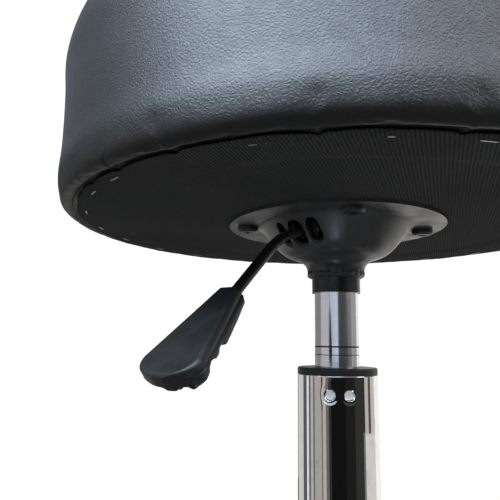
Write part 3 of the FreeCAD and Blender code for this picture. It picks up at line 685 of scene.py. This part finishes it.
def column_tube():
    """Chrome tube with its pressed crimps, which dent the wall round them, and a taper in the hub."""
    foot = low("column_tube").z
    taper_top = high("base_hub").z
    inner = COLUMN_R - 2 * MM
    finer = CRIMP_Z - 9 * MM
    heights = [taper_top + (finer - taper_top) * i / 30 for i in range(30)]
    heights += [finer + 18 * MM * i / 64 for i in range(65)]
    outline = [(COLUMN_R - 1.3 * MM, foot)] + [(COLUMN_R, z) for z in heights]
    outline += [(COLUMN_R, COLUMN_TOP - 0.4 * MM), (COLUMN_R, COLUMN_TOP - 0.12 * MM)]
    outline += [(COLUMN_R - 0.12 * MM, COLUMN_TOP), (inner, COLUMN_TOP)]
    outline += [(inner, taper_top), (inner - 1.3 * MM, foot)]

    def shift(angle, i, r, z):
        if r < COLUMN_R - 0.1 * MM:
            return r, z
        degrees = math.degrees(angle)
        dent = 0.0
        for place in CRIMP_ANGLES:
            side = math.radians(angle_gap(degrees, place)) * COLUMN_R
            away = math.hypot(side, z - CRIMP_Z)
            cup = smooth_step((CRIMP_R - away) / (CRIMP_R - CRIMP_FLAT))
            shoulder = math.exp(-((away - CRIMP_R * 1.15) / (1.6 * MM)) ** 2)
            dent += CRIMP_DEPTH * cup + 0.10 * MM * shoulder * (1 - cup)
        return r - dent, z

    return lathe("column_tube_chrome", outline, 720, shift)


def weld_bead():
    """Painted weld that fills the corner under the pressed plate's neck and ends in a lumpy lip."""
    outline = [
        (21.6, -23.05), (20.3, -24.2), (19.3, -25.6), (18.75, -27.0), (18.45, -28.6), (18.4, -30.0),
        (18.5, -31.0), (18.2, -32.1), (17.4, -32.8), (16.4, -33.2), (15.3, -33.4), (15.0, -30.0),
        (17.0, -25.0), (20.5, -22.9),
    ]
    tube = [(p.x, p.y) for p in smooth_path([(r * MM, PLATE_Z + z * MM, 0) for r, z in outline], 3)][:-1]

    def shift(angle, i, r, z):
        below = smooth_step((PLATE_Z - 27 * MM - z) / (4 * MM)) * smooth_step((r - 15.2 * MM) / (1.5 * MM))
        ripple = math.sin(angle * 31 + 2.5 * math.sin(angle * 4)) * 0.10 * MM
        place = Vector((math.cos(angle) * 5, math.sin(angle) * 5, z * 170))
        lump = noise.noise(place) * 0.75 * MM + noise.noise(place * 2.7) * 0.25 * MM
        return r + (ripple + lump) * below, z + lump * below * 0.7

    return lathe("socket_weld_bead", tube, 288, shift)


def groove_shade_ring(height, half):
    """Black ring flush in a rolled groove of the gas cylinder: painted shade that darkens the groove."""
    radius = high("gas_cylinder").x - 0.04 * MM
    z = PLATE_Z + height
    inside = radius - 0.2 * MM
    outline = [(radius, z - half), (radius, z + half), (inside, z + half), (inside, z - half)]
    return lathe("piston_groove_painted_shade", outline, 160)


# ---- assembly ------------------------------------------------------------------------------------

def paint(obj, material):
    """Gives an object one material in place of any it had."""
    obj.data.materials.clear()
    obj.data.materials.append(material)


def add(obj, body, material, slot_name, *replaced):
    """Puts a finished piece on its body, in place of the CAD nodes named last."""
    paint(obj, material)
    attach(obj, body)
    if replaced:
        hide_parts(*replaced)
    return obj


LOOKS = {
    "leather": leather(),
    "foam": foam(),
    "plywood": plywood(),
    "dust_cloth": dust_cloth(),
    "staple_wire": brushed("staple_wire", (0.60, 0.60, 0.61), 0.34),
    "zinc": brushed("zinc", (0.050, 0.050, 0.052), 0.42, metallic=0.7, scale=(400, 400, 400), streak=0.4),
    "plate_paint": enamel("plate_paint", (0.020, 0.0195, 0.019), 0.33, wear=0.15),
    "black_paint": enamel("black_paint", (0.0045, 0.0045, 0.0047), 0.27),
    "piston_steel": brushed("piston_steel", (0.80, 0.81, 0.84), 0.16, scale=(90, 90, 2200), streak=0.15),
    "chrome": chrome(),
    "black_plastic": plastic("black_plastic", (0.0095, 0.0102, 0.0115), 0.45),
    "inner_steel": brushed("inner_steel", (0.52, 0.52, 0.53), 0.3),
    "brass": brushed("brass", (0.72, 0.52, 0.22), 0.3),
    "rubber": plastic("rubber", (0.012, 0.012, 0.012), 0.75, grain=600),
}

for subpart in frame["record"]["subparts"]:
    paint(NODES[subpart["node"]], LOOKS[subpart["material_slot"]])

cover = add(seat_leather(), "seat", LOOKS["leather"], "leather", "seat_cover", "seat_foam")
thickness = cover.modifiers.new("thickness", "SOLIDIFY")
thickness.thickness = 1.1 * MM
thickness.offset = -1

cloth = add(dust_sheet(), "seat", LOOKS["dust_cloth"], "dust_cloth", "dust_cover")

add(lever_grip(), "lever", LOOKS["black_plastic"], "black_plastic", "lever_handle")
add(column_tube(), "base", LOOKS["chrome"], "chrome", "column_tube")
add(weld_bead(), "seat", LOOKS["plate_paint"], "plate_paint")
# Painted shade: a black ring in each rolled groove of the gas cylinder.
for height, half in PISTON_GROOVES:
    add(groove_shade_ring(height, half), "seat", LOOKS["black_plastic"], "black_plastic")


# ---- camera, floor and light ---------------------------------------------------------------------

def camera():
    """Camera close under the seat, looking a little up and to the left."""
    yaw, pitch, roll = -0.166, 0.171, 0.014
    place = (0, -0.34146, PLATE_Z - 0.07318)
    sensor, focal_share = 36, 1.03516
    forward = Vector((math.sin(yaw) * math.cos(pitch), math.cos(yaw) * math.cos(pitch), math.sin(pitch)))
    right = Vector((math.cos(yaw), -math.sin(yaw), 0))
    up = right.cross(forward)
    tilted_right = right * math.cos(roll) + up * math.sin(roll)
    tilted_up = up * math.cos(roll) - right * math.sin(roll)
    lens = bpy.data.cameras.new("camera")
    lens.sensor_width = sensor
    lens.lens = sensor * focal_share
    lens.clip_start = 0.01
    view = bpy.data.objects.new("camera", lens)
    bpy.context.collection.objects.link(view)
    turn = Matrix((tilted_right, tilted_up, -forward)).transposed().to_4x4()
    view.matrix_world = Matrix.Translation(place) @ turn
    bpy.context.scene.camera = view


def panel(name, place, aim, width, height, power, colour=(1, 1, 1)):
    """Soft rectangular studio light aimed at a point."""
    light = bpy.data.lights.new(name, "AREA")
    light.shape = "RECTANGLE"
    light.size, light.size_y = width, height
    light.energy = power
    light.color = colour
    lamp = bpy.data.objects.new(name, light)
    bpy.context.collection.objects.link(lamp)
    lamp.location = place
    lamp.rotation_mode = "QUATERNION"
    lamp.rotation_quaternion = (Vector(aim) - Vector(place)).to_track_quat("-Z", "Y")


# What shiny parts mirror, as upright strips of wall round the stool: from and to in degrees round from the
# front (to the right is positive), bottom and top in metres, and colour.
SURROUND = (
    (-150, -113, -0.6, 0.21, (0.66, 0.65, 0.64)),
    (-113, -97, -0.6, 0.21, (0.11, 0.11, 0.115)),
    (-97, -89, -0.6, 0.21, (0.85, 0.86, 0.88)),
    (-89, -81, -0.6, 0.21, (0.16, 0.165, 0.18)),
    (-81, -73, -0.6, 0.21, (0.50, 0.51, 0.54)),
    (-73, -67, -0.6, 0.21, (0.19, 0.18, 0.17)),
    (-67, -46, -0.6, 0.21, (0.44, 0.41, 0.39)),
    (-46, -42, -0.6, 0.10, (0.20, 0.19, 0.18)),
    (-42, -33, -0.6, 0.21, (0.50, 0.47, 0.45)),
    (-33, -25, -0.6, 0.21, (0.16, 0.15, 0.145)),
    (-25, -18, -0.6, 0.21, (0.035, 0.033, 0.032)),
    (-18, 22, -0.6, 0.21, (0.007, 0.007, 0.007)),
    (22, 48, -0.6, 0.21, (0.015, 0.014, 0.014)),
    (48, 74, -0.6, 0.21, (0.035, 0.035, 0.035)),
    (74, 80, -0.6, 0.04, (0.20, 0.19, 0.18)),
    (80, 122, -0.6, 0.035, (0.72, 0.69, 0.66)),
    (80, 93, 0.035, 0.21, (0.52, 0.50, 0.48)),
    (93, 103, 0.035, 0.21, (0.09, 0.085, 0.08)),
    (103, 122, 0.035, 0.21, (0.58, 0.56, 0.54)),
    (-150, -88, 0.21, 0.60, (0.26, 0.25, 0.24)),
    (-88, -37, 0.21, 0.60, (0.56, 0.54, 0.57)),
    (-37, -29, 0.21, 0.60, (0.95, 1.05, 1.20)),
    (-29, -8, 0.21, 0.60, (0.58, 0.66, 0.79)),
    (-8, 8, 0.21, 0.60, (0.66, 0.74, 0.86)),
    (8, 60, 0.21, 0.60, (0.075, 0.072, 0.070)),
    (60, 82, 0.21, 0.60, (0.15, 0.145, 0.14)),
    (82, 122, 0.21, 0.60, (0.36, 0.36, 0.36)),
    (122, 150, -0.55, 0.75, (1.05, 1.03, 1.01)),
    (150, 180, -0.40, 0.75, (0.95, 0.93, 0.91)),
    (180, 192, -0.60, -0.10, (0.50, 0.49, 0.48)),
    (180, 210, -0.10, 0.28, (0.36, 0.35, 0.34)),
    (180, 210, 0.28, 0.75, (0.80, 0.78, 0.76)),
    (-180, -125, 0.75, 2.2, (0.26, 0.29, 0.33)),
    (-125, -90, 0.80, 2.2, (0.30, 0.34, 0.40)),
    (-90, -60, 0.90, 2.2, (0.9, 1.05, 1.25)),
    (-60, 22, 0.955, 2.2, (7.0, 8.6, 10.8)),
    (22, 60, 1.02, 2.2, (4.8, 5.3, 6.1)),
    (60, 180, 1.15, 2.2, (0.7, 0.73, 0.78)),
)
SURROUND_R = 1.3


def surround_wall(name, start, end, bottom, top, colour):
    """Glowing curved strip that shows only in reflections."""
    steps = max(int((end - start) / 4), 1)
    vertices, faces = [], []
    for k in range(steps + 1):
        angle = math.radians(start + (end - start) * k / steps - 90)
        x, y = SURROUND_R * math.cos(angle), SURROUND_R * math.sin(angle)
        vertices += [(x, y, bottom), (x, y, top)]
    for k in range(steps):
        faces.append((2 * k, 2 * k + 2, 2 * k + 3, 2 * k + 1))
    wall = mesh_object(name, vertices, faces)
    material = bpy.data.materials.new(name)
    material.use_nodes = True
    tree = material.node_tree
    tree.nodes.remove(tree.nodes["Principled BSDF"])
    glow = tree.nodes.new("ShaderNodeEmission")
    glow.inputs["Color"].default_value = (*colour, 1)
    tree.links.new(glow.outputs[0], tree.nodes["Material Output"].inputs["Surface"])
    paint(wall, material)
    wall.visible_camera = False
    wall.visible_diffuse = False
    wall.visible_shadow = False
    wall.visible_transmission = False
    wall.visible_volume_scatter = False
    return wall


def studio():
    """White backdrop for the camera, dim even light from all round, three soft lamps, and what the shiny
    parts mirror: a dark room in front and pale walls at the sides and behind."""
    bpy.context.scene.view_settings.view_transform = "Standard"
    world = bpy.data.worlds.new("studio")
    bpy.context.scene.world = world
    world.use_nodes = True
    tree = world.node_tree
    path = tree.nodes.new("ShaderNodeLightPath")
    shades = []
    for tone in ((0.36, 0.37, 0.39), (0.03, 0.03, 0.03), (1.05, 1.05, 1.05)):
        shade = tree.nodes.new("ShaderNodeBackground")
        shade.inputs["Color"].default_value = (*tone, 1)
        shades.append(shade.outputs[0])
    chosen = shades[0]
    for ray, shade in (("Is Glossy Ray", shades[1]), ("Is Camera Ray", shades[2])):
        pick = tree.nodes.new("ShaderNodeMixShader")
        tree.links.new(path.outputs[ray], pick.inputs["Fac"])
        tree.links.new(chosen, pick.inputs[1])
        tree.links.new(shade, pick.inputs[2])
        chosen = pick.outputs[0]
    tree.links.new(chosen, tree.nodes["World Output"].inputs["Surface"])
    target = (0, 0, PLATE_Z)
    panel("key", (-0.53, -1.0, 1.50), target, 1.5, 0.9, 24, (0.90, 0.95, 1.0))
    panel("fill_right", (1.5, -0.5, 0.9), target, 0.7, 1.2, 11)
    panel("back", (0.3, 1.8, 1.2), target, 1.6, 1.2, 16)
    for number, (start, end, bottom, top, colour) in enumerate(SURROUND):
        wall = surround_wall(f"surround_{number}", start, end, bottom, top, colour)


def floor():
    """Pale round floor that fades into the white backdrop before its edge."""
    ground = lathe("floor", [(0, 0), (0.25, 0), (0.70, 0)], 96, closed=False)
    s = Shader("floor", Roughness=0.7)
    s.body.inputs["Base Color"].default_value = (0.92, 0.92, 0.92, 1)
    distance = s.node("ShaderNodeVectorMath", operation="LENGTH")
    s.link(s.coords, distance.inputs[0])
    s.set("Alpha", s.range(distance.outputs["Value"], 1.0, 0.0, 0.40, 0.68))
    paint(ground, s.material)
    ground.visible_glossy = False


camera()
studio()
floor()
